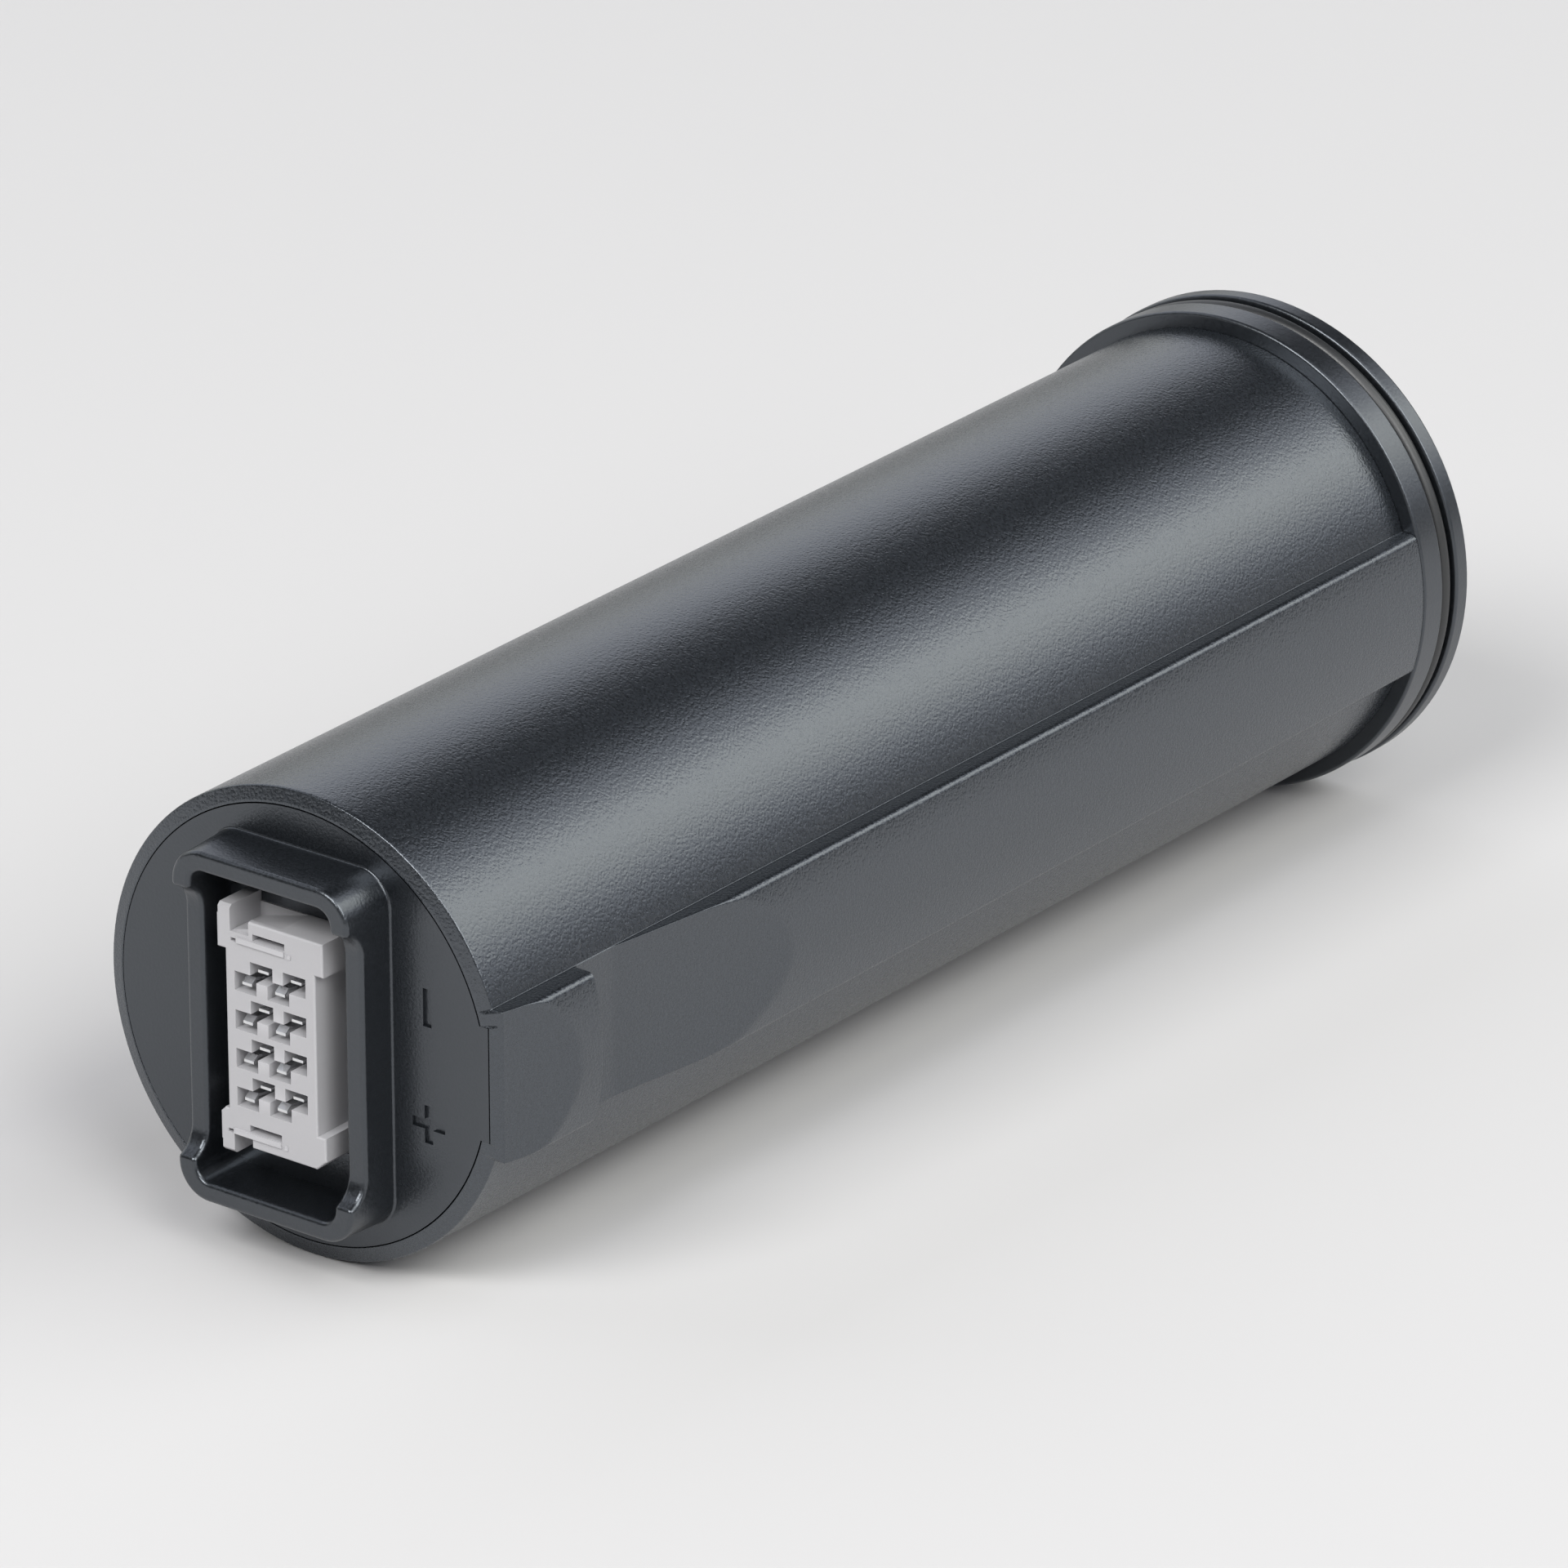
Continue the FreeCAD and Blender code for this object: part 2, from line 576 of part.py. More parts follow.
# ---- protection board ---------------------------------------------------------------------------
def wireways(shape):
    """Cuts the six round wireways that line up with the valleys between the outer cells."""
    box_y = shape.BoundBox
    for angle in range(30, 360, 60):
        x, z = polar(WIREWAY_CENTRE_R, angle)
        shape = shape.cut(rod(WIREWAY_R, box_y.YMin - 1, box_y.YMax + 1, x, z))
    return shape


def protection_board():
    """The round circuit board that carries the connector and switches the pack."""
    board_back = BOARD_Y + BOARD_T
    board = wireways(rod(BOARD_R, BOARD_Y, board_back))
    for x, z in boss_places():
        board = board.cut(rod(BOARD_SCREW_FIT_R, BOARD_Y - 1, board_back + 1, x, z))
    half = TAIL_HALF + TAIL_HOLE_FIT
    for place in contact_places():
        board = board.cut(spans((-half, half), BOARD_Y - 1, board_back + 1, (-half, half), place))
    return board


def power_switches():
    """The switching transistors on the front of the board, beside the connector."""
    switches = []
    body_z = (-SWITCH_HALF_L, SWITCH_HALF_L)
    tab_z = (-SWITCH_TAB_HALF_L, SWITCH_TAB_HALF_L)
    for i in range(SWITCHES):
        place = (0, SWITCH_PITCH * (i - (SWITCHES - 1) / 2))
        body = spans(SWITCH_X, BOARD_Y - SWITCH_T, BOARD_Y, body_z, place)
        tab = spans(SWITCH_TAB_X, BOARD_Y - SWITCH_TAB_T, BOARD_Y, tab_z, place)
        switches.append(body.fuse(tab))
    return Part.makeCompound(switches)


def control_chip():
    """The battery-management chip, on the back of the board, with its leads."""
    y0 = BOARD_Y + BOARD_T
    chip = spans(CHIP_X, y0 + CHIP_STAND, y0 + CHIP_STAND + CHIP_T, CHIP_Z)
    lead_z = (-CHIP_LEAD_HALF_W, CHIP_LEAD_HALF_W)
    middle = sum(CHIP_Z) / 2
    for i in range(CHIP_LEADS):
        place = (0, middle + CHIP_LEAD_PITCH * (i - (CHIP_LEADS - 1) / 2))
        chip = chip.fuse(spans(CHIP_LEAD_X, y0, y0 + CHIP_LEAD_T, lead_z, place))
    return chip


def fuse():
    """The ceramic fuse with two end caps, on the front of the board."""
    body = spans(FUSE_X, BOARD_Y - FUSE_T, BOARD_Y - FUSE_STAND, FUSE_Z)
    for cap_x in FUSE_CAP_X:
        body = body.fuse(spans(cap_x, BOARD_Y - FUSE_CAP_T, BOARD_Y, FUSE_CAP_Z))
    return body


def board_screws():
    """Four pan-head screws that hold the board to the cover's bosses."""
    screws = []
    y0 = BOARD_Y + BOARD_T
    long, short = CROSS_RECESS
    for x, z in boss_places():
        shank = rod(BOARD_SCREW_R, BOARD_SCREW_Y, y0 + LAP, x, z)
        head = rod(BOARD_SCREW_HEAD_R, y0, y0 + BOARD_SCREW_HEAD_T, x, z)
        screw = shank.fuse(head)
        for w, h in ((long, short), (short, long)):
            recess_y = (y0 + CROSS_RECESS_Y, y0 + BOARD_SCREW_HEAD_T + 1)
            screw = screw.cut(spans((-w, w), *recess_y, (-h, h), (x, z)))
        screws.append(screw)
    return Part.makeCompound(screws)


# ---- cell stack ---------------------------------------------------------------------------------
def cell_places():
    """The centres of the seven cells of a layer: one in the middle and six around it."""
    return [(0.0, 0.0)] + [polar(CELL_PITCH, 60 * i) for i in range(6)]


def layer_start(layer):
    return STACK_Y + layer * (CELL_LENGTH + BUS_T)


def cell(x, z, y0):
    """A round cell: steel can with a bead near its positive end, and a raised centre contact."""
    foot = [(CELL_R, CELL_LENGTH - CELL_FOOT_EDGE), (CELL_R - CELL_FOOT_EDGE, CELL_LENGTH)]
    profile = list(CELL_NOSE) + foot + [(0, CELL_LENGTH)]
    shape = turned(profile)
    shape.translate(Vector(x, y0, z))
    return shape


def cell_holder(y0):
    """A star-shaped holder that grips the ends of seven cells."""
    holder = wireways(rod(HOLDER_R, y0, y0 + HOLDER_T))
    for x, z in cell_places():
        holder = holder.cut(rod(CELL_R + HOLDER_FIT, y0 - 1, y0 + HOLDER_T + 1, x, z))
    return holder


def bus_plate(y0, tab_angle=None):
    """A nickel plate: seven round pads joined by arms, each pad slit for welding."""
    y1 = y0 + BUS_T
    arm = box(0, CELL_PITCH, y0, y1, -BUS_ARM_W / 2, BUS_ARM_W / 2)
    chord = turned_about_axis(arm, 120)
    chord.translate(Vector(CELL_PITCH, 0, 0))
    plate = rod(BUS_PAD_R, y0, y1)
    for i, (x, z) in enumerate(cell_places()[1:]):
        plate = plate.fuse(rod(BUS_PAD_R, y0, y1, x, z))
        plate = plate.fuse(turned_about_axis(arm, 60 * i))
        plate = plate.fuse(turned_about_axis(chord, 60 * i))
    if tab_angle is not None:
        tab = box(BUS_TAB_ROOT_R, STRAP_R + STRAP_T, y0, y1, -STRAP_W / 2, STRAP_W / 2)
        plate = plate.fuse(turned_about_axis(tab, tab_angle))
    w, h = BUS_SLIT
    for place in cell_places():
        plate = plate.cut(spans((-w, w), y0 - 1, y1 + 1, (-h, h), place))
    return plate.removeSplitter()


def insulator(y0):
    """A fibre disc between the cell stack and the protection board."""
    return wireways(rod(INSULATOR_R, y0, y0 + INSULATOR_T))


def stack_end():
    return layer_start(LAYERS - 1) + CELL_LENGTH


def strap(y1, angle, rear_tab=0.0):
    """A strap that stands on the back of the board and runs to y1 beside the cells."""
    y0 = BOARD_Y + BOARD_T
    half = STRAP_W / 2
    shape = box(STRAP_R, STRAP_R + STRAP_T, y0, y1, -half, half)
    shape = shape.fuse(box(STRAP_R - STRAP_TAB, STRAP_R, y0, y0 + STRAP_T, -half, half))
    if rear_tab:
        shape = shape.fuse(box(STRAP_R - rear_tab, STRAP_R, y1 - STRAP_T, y1, -half, half))
    return turned_about_axis(shape.removeSplitter(), angle)


def return_strap():
    """The strap that brings the negative end of the stack forward to the board."""
    return strap(stack_end() + BUS_T + STRAP_T, RETURN_ANGLE, STRAP_REAR_TAB)


def supply_strap():
    """The short strap from the front bus plate's tab to the board."""
    return strap(STACK_Y - BUS_T, SUPPLY_ANGLE)


def sense_lead(angle, y1):
    """A thin lead from the board to the tab of a bus plate between two layers."""
    x, z = polar(LEAD_CENTRE_R, angle)
    return rod(LEAD_R, BOARD_Y + BOARD_T, y1, x, z)


def thermistor():
    """A temperature bead on its lead, in the valley beside the middle layer."""
    x, z = polar(LEAD_CENTRE_R, BEAD_ANGLE)
    middle_y = layer_start(1) + CELL_LENGTH / 2
    lead = rod(LEAD_R, BOARD_Y + BOARD_T, middle_y, x, z)
    return lead.fuse(rod(BEAD_R, middle_y + BEAD_Y[0], middle_y + BEAD_Y[1], x, z))


def foam_pad():
    """The foam disc that presses the cell stack forward."""
    y0 = stack_end() + BUS_T + STRAP_T
    return rod(TUBE_BORE_R - FOAM_FIT, y0, COLLAR_WEB_Y - SEAM)


# ---- rear flange --------------------------------------------------------------------------------
def rounded_at(shape, radius, places):
    """Rounds the circular edges of a turned solid that lie at the given (radius, y) places."""
    edges = []
    for edge in shape.Edges:
        span = edge.BoundBox
        for r, y in places:
            if abs(span.YMin - y) < 0.01 and span.YLength < 0.01 and abs(span.XMax - r) < 0.02:
                edges.append(edge)
    return shape.makeFillet(radius, edges)


def rear_collar():
    """The flange ring on the end of the tube, with the seal groove and an inner web for the screws."""
    collar = turned([
        (COLLAR_BORE_R, COLLAR_Y), (COLLAR_R, COLLAR_Y), (COLLAR_R, COLLAR_GROOVE_Y),
        (GROOVE_FLOOR_R, COLLAR_GROOVE_Y), (GROOVE_FLOOR_R, COLLAR_END_Y), (COLLAR_WEB_R, COLLAR_END_Y),
        (COLLAR_WEB_R, COLLAR_WEB_Y), (COLLAR_BORE_R, COLLAR_WEB_Y),
    ])
    collar = rounded_at(collar, FLANGE_EDGE_R, [(COLLAR_R, COLLAR_Y), (COLLAR_R, COLLAR_GROOVE_Y)])
    for x, z in screw_places():
        collar = collar.cut(rod(SCREW_R, COLLAR_WEB_Y - 1, COLLAR_END_Y + 1, x, z))
    return collar


def seal_ring():
    """The rubber ring in the flange groove."""
    middle_y = (COLLAR_GROOVE_Y + END_CAP_Y) / 2
    return Part.makeTorus(GROOVE_FLOOR_R + SEAL_CORD_R, SEAL_CORD_R, Vector(0, middle_y, 0), ALONG_Y)


def screw_places():
    step = 360 / SCREWS
    return [polar(SCREW_CIRCLE_R, step * (i + 0.5)) for i in range(SCREWS)]


def end_cap():
    """The end disc with its locating plug and six countersunk holes."""
    cap = turned([
        (0, COLLAR_WEB_Y), (PLUG_R, COLLAR_WEB_Y), (PLUG_R, END_CAP_Y), (END_CAP_R, END_CAP_Y),
        (END_CAP_R, END_CAP_END_Y), (0, END_CAP_END_Y),
    ])
    cap = rounded_at(cap, FLANGE_EDGE_R, [(END_CAP_R, END_CAP_Y), (END_CAP_R, END_CAP_END_Y)])
    hole_r = SCREW_R + SCREW_HOLE_FIT
    head_r = SCREW_HEAD_R + SCREW_SET_BACK
    for x, z in screw_places():
        top = Vector(x, END_CAP_END_Y - SCREW_HEAD_T, z)
        cap = cap.cut(rod(hole_r, END_CAP_Y - 1, END_CAP_END_Y + 1, x, z))
        cap = cap.cut(Part.makeCone(hole_r, head_r, SCREW_HEAD_T, top, ALONG_Y))
    return cap


def end_cap_screws():
    """Six countersunk socket screws through the end disc into the collar's web."""
    screws = []
    head_y = END_CAP_END_Y - SCREW_HEAD_T
    head_t = SCREW_HEAD_T - SCREW_SET_BACK
    corners = [polar(SOCKET_R, 60 * i) for i in range(6)]
    for x, z in screw_places():
        head = Part.makeCone(SCREW_R, SCREW_HEAD_R, head_t, Vector(x, head_y, z), ALONG_Y)
        screw = rod(SCREW_R, SCREW_END_Y, head_y + LAP / 2, x, z).fuse(head)
        points = [Vector(x + cx, head_y + SOCKET_FLOOR, z + cz) for cx, cz in corners]
        screws.append(screw.cut(extruded(points, Vector(0, SCREW_HEAD_T, 0))))
    return Part.makeCompound(screws)


# ---- the whole pack -----------------------------------------------------------------------------
def main():
    os.makedirs("parts", exist_ok=True)
    save("housing_tube", housing_tube())
    save("front_cover", front_cover())
    save("connector_housing", connector_housing())
    for i, (x, z) in enumerate(contact_places()):
        save("contact_%d" % (i + 1), contact(x, z))

    save("protection_board", protection_board())
    save("power_switches", power_switches())
    save("control_chip", control_chip())
    save("fuse", fuse())
    save("board_screws", board_screws())

    for layer in range(LAYERS):
        name = LAYER_NAMES[layer]
        y0 = layer_start(layer)
        for i, (x, z) in enumerate(cell_places()):
            save("cell_%s%d" % (name, i + 1), cell(x, z, y0))
        save("cell_holder_%s_front" % name, cell_holder(y0 + HOLDER_INSET))
        save("cell_holder_%s_rear" % name, cell_holder(y0 + CELL_LENGTH - HOLDER_T - HOLDER_INSET))
    save("bus_plate_front", bus_plate(STACK_Y - BUS_T, SUPPLY_ANGLE))
    save("bus_plate_ab", bus_plate(layer_start(1) - BUS_T, SENSE_AB_ANGLE))
    save("bus_plate_bc", bus_plate(layer_start(2) - BUS_T, SENSE_BC_ANGLE))
    save("bus_plate_rear", bus_plate(stack_end()))
    save("insulator", insulator(STACK_Y - BUS_T - INSULATOR_T))
    save("return_strap", return_strap())
    save("supply_strap", supply_strap())
    save("sense_lead_ab", sense_lead(SENSE_AB_ANGLE, layer_start(1) - BUS_T))
    save("sense_lead_bc", sense_lead(SENSE_BC_ANGLE, layer_start(2) - BUS_T))
    save("thermistor", thermistor())
    save("foam_pad", foam_pad())

    save("rear_collar", rear_collar())
    save("seal_ring", seal_ring())
    save("end_cap", end_cap())
    save("end_cap_screws", end_cap_screws())


main()
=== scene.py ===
import math

import bpy
import numpy as np
from mathutils import Matrix, Vector


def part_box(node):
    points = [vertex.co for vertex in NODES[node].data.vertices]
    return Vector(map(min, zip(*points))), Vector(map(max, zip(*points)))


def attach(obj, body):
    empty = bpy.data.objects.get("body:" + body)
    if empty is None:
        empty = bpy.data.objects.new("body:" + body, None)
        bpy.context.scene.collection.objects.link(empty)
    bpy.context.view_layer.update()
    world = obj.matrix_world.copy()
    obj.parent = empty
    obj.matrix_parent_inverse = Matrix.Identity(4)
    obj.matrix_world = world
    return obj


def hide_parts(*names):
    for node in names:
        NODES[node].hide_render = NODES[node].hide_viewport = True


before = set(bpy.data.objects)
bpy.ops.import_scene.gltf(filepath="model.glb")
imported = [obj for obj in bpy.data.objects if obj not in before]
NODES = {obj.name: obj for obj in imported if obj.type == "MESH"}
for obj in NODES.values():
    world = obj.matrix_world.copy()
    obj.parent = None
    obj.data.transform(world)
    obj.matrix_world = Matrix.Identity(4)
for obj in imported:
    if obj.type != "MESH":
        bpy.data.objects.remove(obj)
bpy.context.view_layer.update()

MM = 0.001


# ---- the pack's sizes in millimetres, as in its CAD ---------------------------------------------
TUBE_R = 35.0
TUBE_FRONT_Y = 0.6
TUBE_DRAFT = 0.004             # growth of the radius for each millimetre to the rear
TUBE_END_Y = 221.4
TUBE_BORE_R = 32.2
RIM_EDGE_R = 0.35
SEAT_R = 32.6                  # the counterbore that takes the front cover
SEAT_Y = 2.62
KEY_X = 32.92                  # the notch in the seat for the cover's key tab
KEY_HALF = 8.72
SPIGOT_R = 34.44               # the spigot at the rear, inside the collar
SPIGOT_END_Y = 226.38
RAIL_R = 38.2
RAIL_HALF = 11.35
RAIL_EDGE_R = 1.2
RAMP_FOOT_X = 34.85
CREST_Y = 13.9
STEP_Y = 18.5
STEP_EDGE_R = 0.3
NOTCH_FLOOR_X = 33.3
NOTCH_END_Y = 26.9
RAMP_END_Y = 61.8
GROOVE_FLOOR_R = 35.9
SEAL_CORD_R = 1.2
SEAL_Y = 228.25


# ---- camera, floor and light --------------------------------------------------------------------
CAMERA_AZIMUTH = math.radians(37.01)
CAMERA_ELEVATION = math.radians(23.11)
CAMERA_PLACE = (0.8096, -0.9636, 0.5727)
CAMERA_LENS = 229.6
SENSOR_WIDTH = 36
CAMERA_CLIP = (0.05, 50)
FLOOR_REACH = 12.0
FLOOR_GAP = 0.00005
FLOOR_COLOR = (0.65, 0.64, 0.637)
FLOOR_ROUGHNESS = 0.9
FLOOR_SHINE = 0.1
REST_INSET = 1.5               # the end disc rests this far in from its rear face
ROOM_COLOR = (0.01, 0.01, 0.01)

# The two long banks of light run along the pack. Each strip has its angle up from the rail side,
# its radiance and its colour.
BANK_DISTANCE = 3.2
BANK_CENTRE_Y = 2.8
BANK_STRIP = (0.56, 8.8)
COOL_LIGHT = (0.95, 0.98, 1.07)
CLEAR_LIGHT = (1.0, 1.01, 0.97)
RAIL_SIDE_BANK = (
    (15, 0.5, COOL_LIGHT), (25, 1.1, COOL_LIGHT), (35, 2.0, CLEAR_LIGHT), (45, 2.45, CLEAR_LIGHT),
    (55, 2.95, CLEAR_LIGHT), (65, 1.1, COOL_LIGHT), (75, 0.9, COOL_LIGHT),
)
FAR_SIDE_BANK = (
    (130, 0.95, COOL_LIGHT), (140, 1.0, COOL_LIGHT), (150, 1.1, COOL_LIGHT),
    (160, 1.0, CLEAR_LIGHT), (170, 0.7, CLEAR_LIGHT),
)
FRONT_SOFTBOXES = (
    ("softbox_front", (0, -3.0, 3.0), (0, 0.3, 0), (2.4, 1.8), 9.6),
    ("softbox_front_rail_side", (3.0, -1.5, 2.5), (0.3, 0.4, 0), (2, 2), 4.2),
)


def add_camera():
    """A long lens, level, above and to the rail side of the front face."""
    data = bpy.data.cameras.new("camera")
    data.lens = CAMERA_LENS
    data.sensor_width = SENSOR_WIDTH
    data.clip_start, data.clip_end = CAMERA_CLIP
    camera = bpy.data.objects.new("camera", data)
    bpy.context.scene.collection.objects.link(camera)
    a, e = CAMERA_AZIMUTH, CAMERA_ELEVATION
    back = Vector((math.sin(a) * math.cos(e), -math.cos(a) * math.cos(e), math.sin(e)))
    camera.location = CAMERA_PLACE
    camera.rotation_mode = "QUATERNION"
    camera.rotation_quaternion = (-back).to_track_quat("-Z", "Y")
    bpy.context.scene.camera = camera
    bpy.context.scene.view_settings.view_transform = "Standard"


def add_floor():
    """A flat pale floor that touches the bottom of the front rim and of the end disc."""
    cap_low, cap_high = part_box("end_cap")
    front_z = -TUBE_R * MM
    front_y = TUBE_FRONT_Y * MM
    rear_y = cap_high.y - REST_INSET * MM
    slope = (cap_low.z - front_z) / (rear_y - front_y)
    verts = []
    for x, y in ((-1, -1), (1, -1), (1, 1), (-1, 1)):
        z = front_z + slope * (FLOOR_REACH * y - front_y) - FLOOR_GAP
        verts.append((FLOOR_REACH * x, FLOOR_REACH * y, z))
    mesh = bpy.data.meshes.new("floor")
    mesh.from_pydata(verts, [], [(0, 1, 2, 3)])
    floor = bpy.data.objects.new("floor", mesh)
    bpy.context.scene.collection.objects.link(floor)
    material, shader = new_material("pale_floor", FLOOR_COLOR, FLOOR_ROUGHNESS)
    shader.inputs["Specular IOR Level"].default_value = FLOOR_SHINE
    mesh.materials.append(material)


def add_softbox(name, place, aim, size, radiance, color=(1, 1, 1)):
    """A rectangular softbox at place that faces aim, as bright as radiance over its whole area.

    Its second size lies along the pack's axis, as far as facing aim allows.
    """
    data = bpy.data.lights.new(name, "AREA")
    data.shape = "RECTANGLE"
    data.size, data.size_y = size
    data.energy = radiance * math.pi * size[0] * size[1]
    data.color = color
    light = bpy.data.objects.new(name, data)
    bpy.context.scene.collection.objects.link(light)
    backward = (Vector(place) - Vector(aim)).normalized()
    across = Vector((0, 1, 0)).cross(backward).normalized()
    turn = Matrix((across, backward.cross(across), backward)).transposed()
    light.matrix_world = Matrix.Translation(place) @ turn.to_4x4()


def add_lights():
    """A long bank of light on either side of the pack and two softboxes in front of it."""
    for bank, strips in (("rail_side", RAIL_SIDE_BANK), ("far_side", FAR_SIDE_BANK)):
        for angle, radiance, color in strips:
            turn = math.radians(angle)
            x, z = BANK_DISTANCE * math.cos(turn), BANK_DISTANCE * math.sin(turn)
            place, aim = (x, BANK_CENTRE_Y, z), (0, BANK_CENTRE_Y, 0)
            add_softbox(f"bank_{bank}_{angle}", place, aim, BANK_STRIP, radiance, color)
    for name, place, aim, size, radiance in FRONT_SOFTBOXES:
        add_softbox(name, place, aim, size, radiance)
    world = bpy.data.worlds.new("dark_room")
    world.use_nodes = True
    world.node_tree.nodes["Background"].inputs["Color"].default_value = (*ROOM_COLOR, 1)
    bpy.context.scene.world = world


# ---- materials ----------------------------------------------------------------------------------
NOISE_LOW = 0.3                # a noise field lies mostly between these two values
NOISE_HIGH = 0.7
WEAR_START = 0.55              # the pointiness at which an edge starts to look rubbed
WEAR_FULL = 0.75
WEAR_SHARE = 0.5
WORN_GAIN = 1.6                # a rubbed edge's colour: the plastic's own, times this plus the next
WORN_ADD = 0.01
GRAIN_GLOSS_DRIFT = 0.08
COARSE_GRAIN = 1.8             # the coarse grain's size and depth against those of the fine grain
COARSE_DEPTH = 0.6
PATCH_SIZE = 6.0 * MM          # patches of duller metal
PATCH_GLOSS = (0.8, 1.3)
TARNISH = 0.1
CLOUD_SIZE = 12                # cloudy colour of fibre against the size of its strands
CLOUD_DRIFT = 0.15
STRAND_GLOSS_DRIFT = 0.1

DARK = (0.011, 0.0128, 0.0155)
DEEP_DARK = (0.0066, 0.00768, 0.0093)
NEUTRAL = (1, 1, 1)
COOL = (0.93, 1.0, 1.09)       # tint of the dark plastics' gloss
PLAIN_IOR = 1.5
PLAIN_DRIFT = 0.08
EVEN = (1, 1, 1)
ALONG_Y = (1, 0.1, 1)          # stretches a metal's drawn lines along Y
ALONG_Z = (1, 1, 0.1)

# Each plastic: colour, roughness, grain size and depth in millimetres, refraction, drift, tint.
PLASTICS = {
    "housing_plastic": (DARK, 0.28, 0.42, 0.06, 1.92, 0.85, COOL),
    "cover_plastic": (DEEP_DARK, 0.3, 0.42, 0.03, 1.85, 0.85, COOL),
    "flange_plastic": (DEEP_DARK, 0.32, 0.42, 0.02, 1.9, 0.7, COOL),
    "seal_rubber": ((0.014, 0.015, 0.016), 0.42, 0.3, 0.004, 1.7, PLAIN_DRIFT, NEUTRAL),
    "connector_plastic": ((0.48, 0.475, 0.49), 0.45, 0.3, 0.006, PLAIN_IOR, 0.02, NEUTRAL),
    "chip_resin": ((0.02, 0.02, 0.022), 0.5, 0.2, 0.002, PLAIN_IOR, PLAIN_DRIFT, NEUTRAL),
    "fuse_ceramic": ((0.7, 0.69, 0.66), 0.35, 0.3, 0.002, PLAIN_IOR, 0.03, NEUTRAL),
    "holder_plastic": ((0.05, 0.05, 0.055), 0.5, 0.4, 0.004, PLAIN_IOR, PLAIN_DRIFT, NEUTRAL),
    "cell_can": ((0.05, 0.16, 0.3), 0.35, 0.6, 0.002, PLAIN_IOR, 0.05, NEUTRAL),
    "lead_insulation": ((0.4, 0.03, 0.02), 0.4, 0.4, 0.002, PLAIN_IOR, PLAIN_DRIFT, NEUTRAL),
}
# Each metal: colour, roughness, width and depth of its drawn lines in millimetres, direction.
METALS = {
    "contact_tin": ((0.82, 0.83, 0.84), 0.28, 0.2, 0.001, ALONG_Y),
    "screw_steel": ((0.5, 0.5, 0.52), 0.3, 0.3, 0.002, EVEN),
    "nickel_strip": ((0.66, 0.63, 0.58), 0.35, 0.3, 0.002, ALONG_Z),
}
# Each fibre material: colour, roughness, strand size and depth in millimetres.
FIBRES = {
    "board_laminate": ((0.02, 0.09, 0.04), 0.4, 0.6, 0.01),
    "insulator_fibre": ((0.25, 0.17, 0.09), 0.75, 0.5, 0.02),
    "foam": ((0.08, 0.08, 0.085), 0.95, 0.8, 0.1),
}
# The finish of each CAD node, or of all nodes whose names start so. The first that fits counts.
NODE_FINISHES = (
    ("housing_tube", "housing_plastic"),
    ("front_cover", "cover_plastic"),
    ("rear_collar", "flange_plastic"),
    ("end_cap_screws", "screw_steel"),
    ("end_cap", "flange_plastic"),
    ("seal_ring", "seal_rubber"),
    ("connector_housing", "connector_plastic"),
    ("contact_", "contact_tin"),
    ("protection_board", "board_laminate"),
    ("power_switches", "chip_resin"),
    ("control_chip", "chip_resin"),
    ("fuse", "fuse_ceramic"),
    ("board_screws", "screw_steel"),
    ("cell_holder", "holder_plastic"),
    ("cell_", "cell_can"),
    ("bus_plate", "nickel_strip"),
    ("return_strap", "nickel_strip"),
    ("supply_strap", "nickel_strip"),
    ("insulator", "insulator_fibre"),
    ("sense_lead", "lead_insulation"),
    ("thermistor", "lead_insulation"),
    ("foam_pad", "foam"),
)


def new_material(name, color, roughness, metallic=0.0, ior=PLAIN_IOR, tint=NEUTRAL):
    material = bpy.data.materials.new(name)
    material.use_nodes = True
    shader = material.node_tree.nodes["Principled BSDF"]
    shader.inputs["Base Color"].default_value = (*color, 1)
    shader.inputs["Roughness"].default_value = roughness
    shader.inputs["Metallic"].default_value = metallic
    shader.inputs["IOR"].default_value = ior
    shader.inputs["Specular Tint"].default_value = (*tint, 1)
    return material, shader


def object_noise(material, size, detail, stretch=EVEN):
    """A noise field in the piece's own metres, with features of about the given size."""
    nodes, links = material.node_tree.nodes, material.node_tree.links
    place = nodes.new("ShaderNodeTexCoord")
    mapping = nodes.new("ShaderNodeMapping")
    mapping.inputs["Scale"].default_value = stretch
    noise = nodes.new("ShaderNodeTexNoise")
    noise.inputs["Scale"].default_value = 1 / size
    noise.inputs["Detail"].default_value = detail
    links.new(place.outputs["Object"], mapping.inputs["Vector"])
    links.new(mapping.outputs["Vector"], noise.inputs["Vector"])
    return noise.outputs["Fac"]


def remap(material, value, low, high):
    """The noise value spread from low to high."""
    nodes, links = material.node_tree.nodes, material.node_tree.links
    ramp = nodes.new("ShaderNodeMapRange")
    ramp.inputs["From Min"].default_value = NOISE_LOW
    ramp.inputs["From Max"].default_value = NOISE_HIGH
    ramp.inputs["To Min"].default_value = low
    ramp.inputs["To Max"].default_value = high
    links.new(value, ramp.inputs["Value"])
    return ramp.outputs["Result"]


def vary_color(material, shader, color, value, amount):
    """Lets the colour drift lighter and darker by the given share."""
    nodes, links = material.node_tree.nodes, material.node_tree.links
    mix = nodes.new("ShaderNodeMix")
    mix.data_type = "RGBA"
    mix.inputs["A"].default_value = (*[c * (1 - amount) for c in color], 1)
    mix.inputs["B"].default_value = (*[c * (1 + amount) for c in color], 1)
    links.new(value, mix.inputs["Factor"])
    links.new(mix.outputs["Result"], shader.inputs["Base Color"])
    return mix


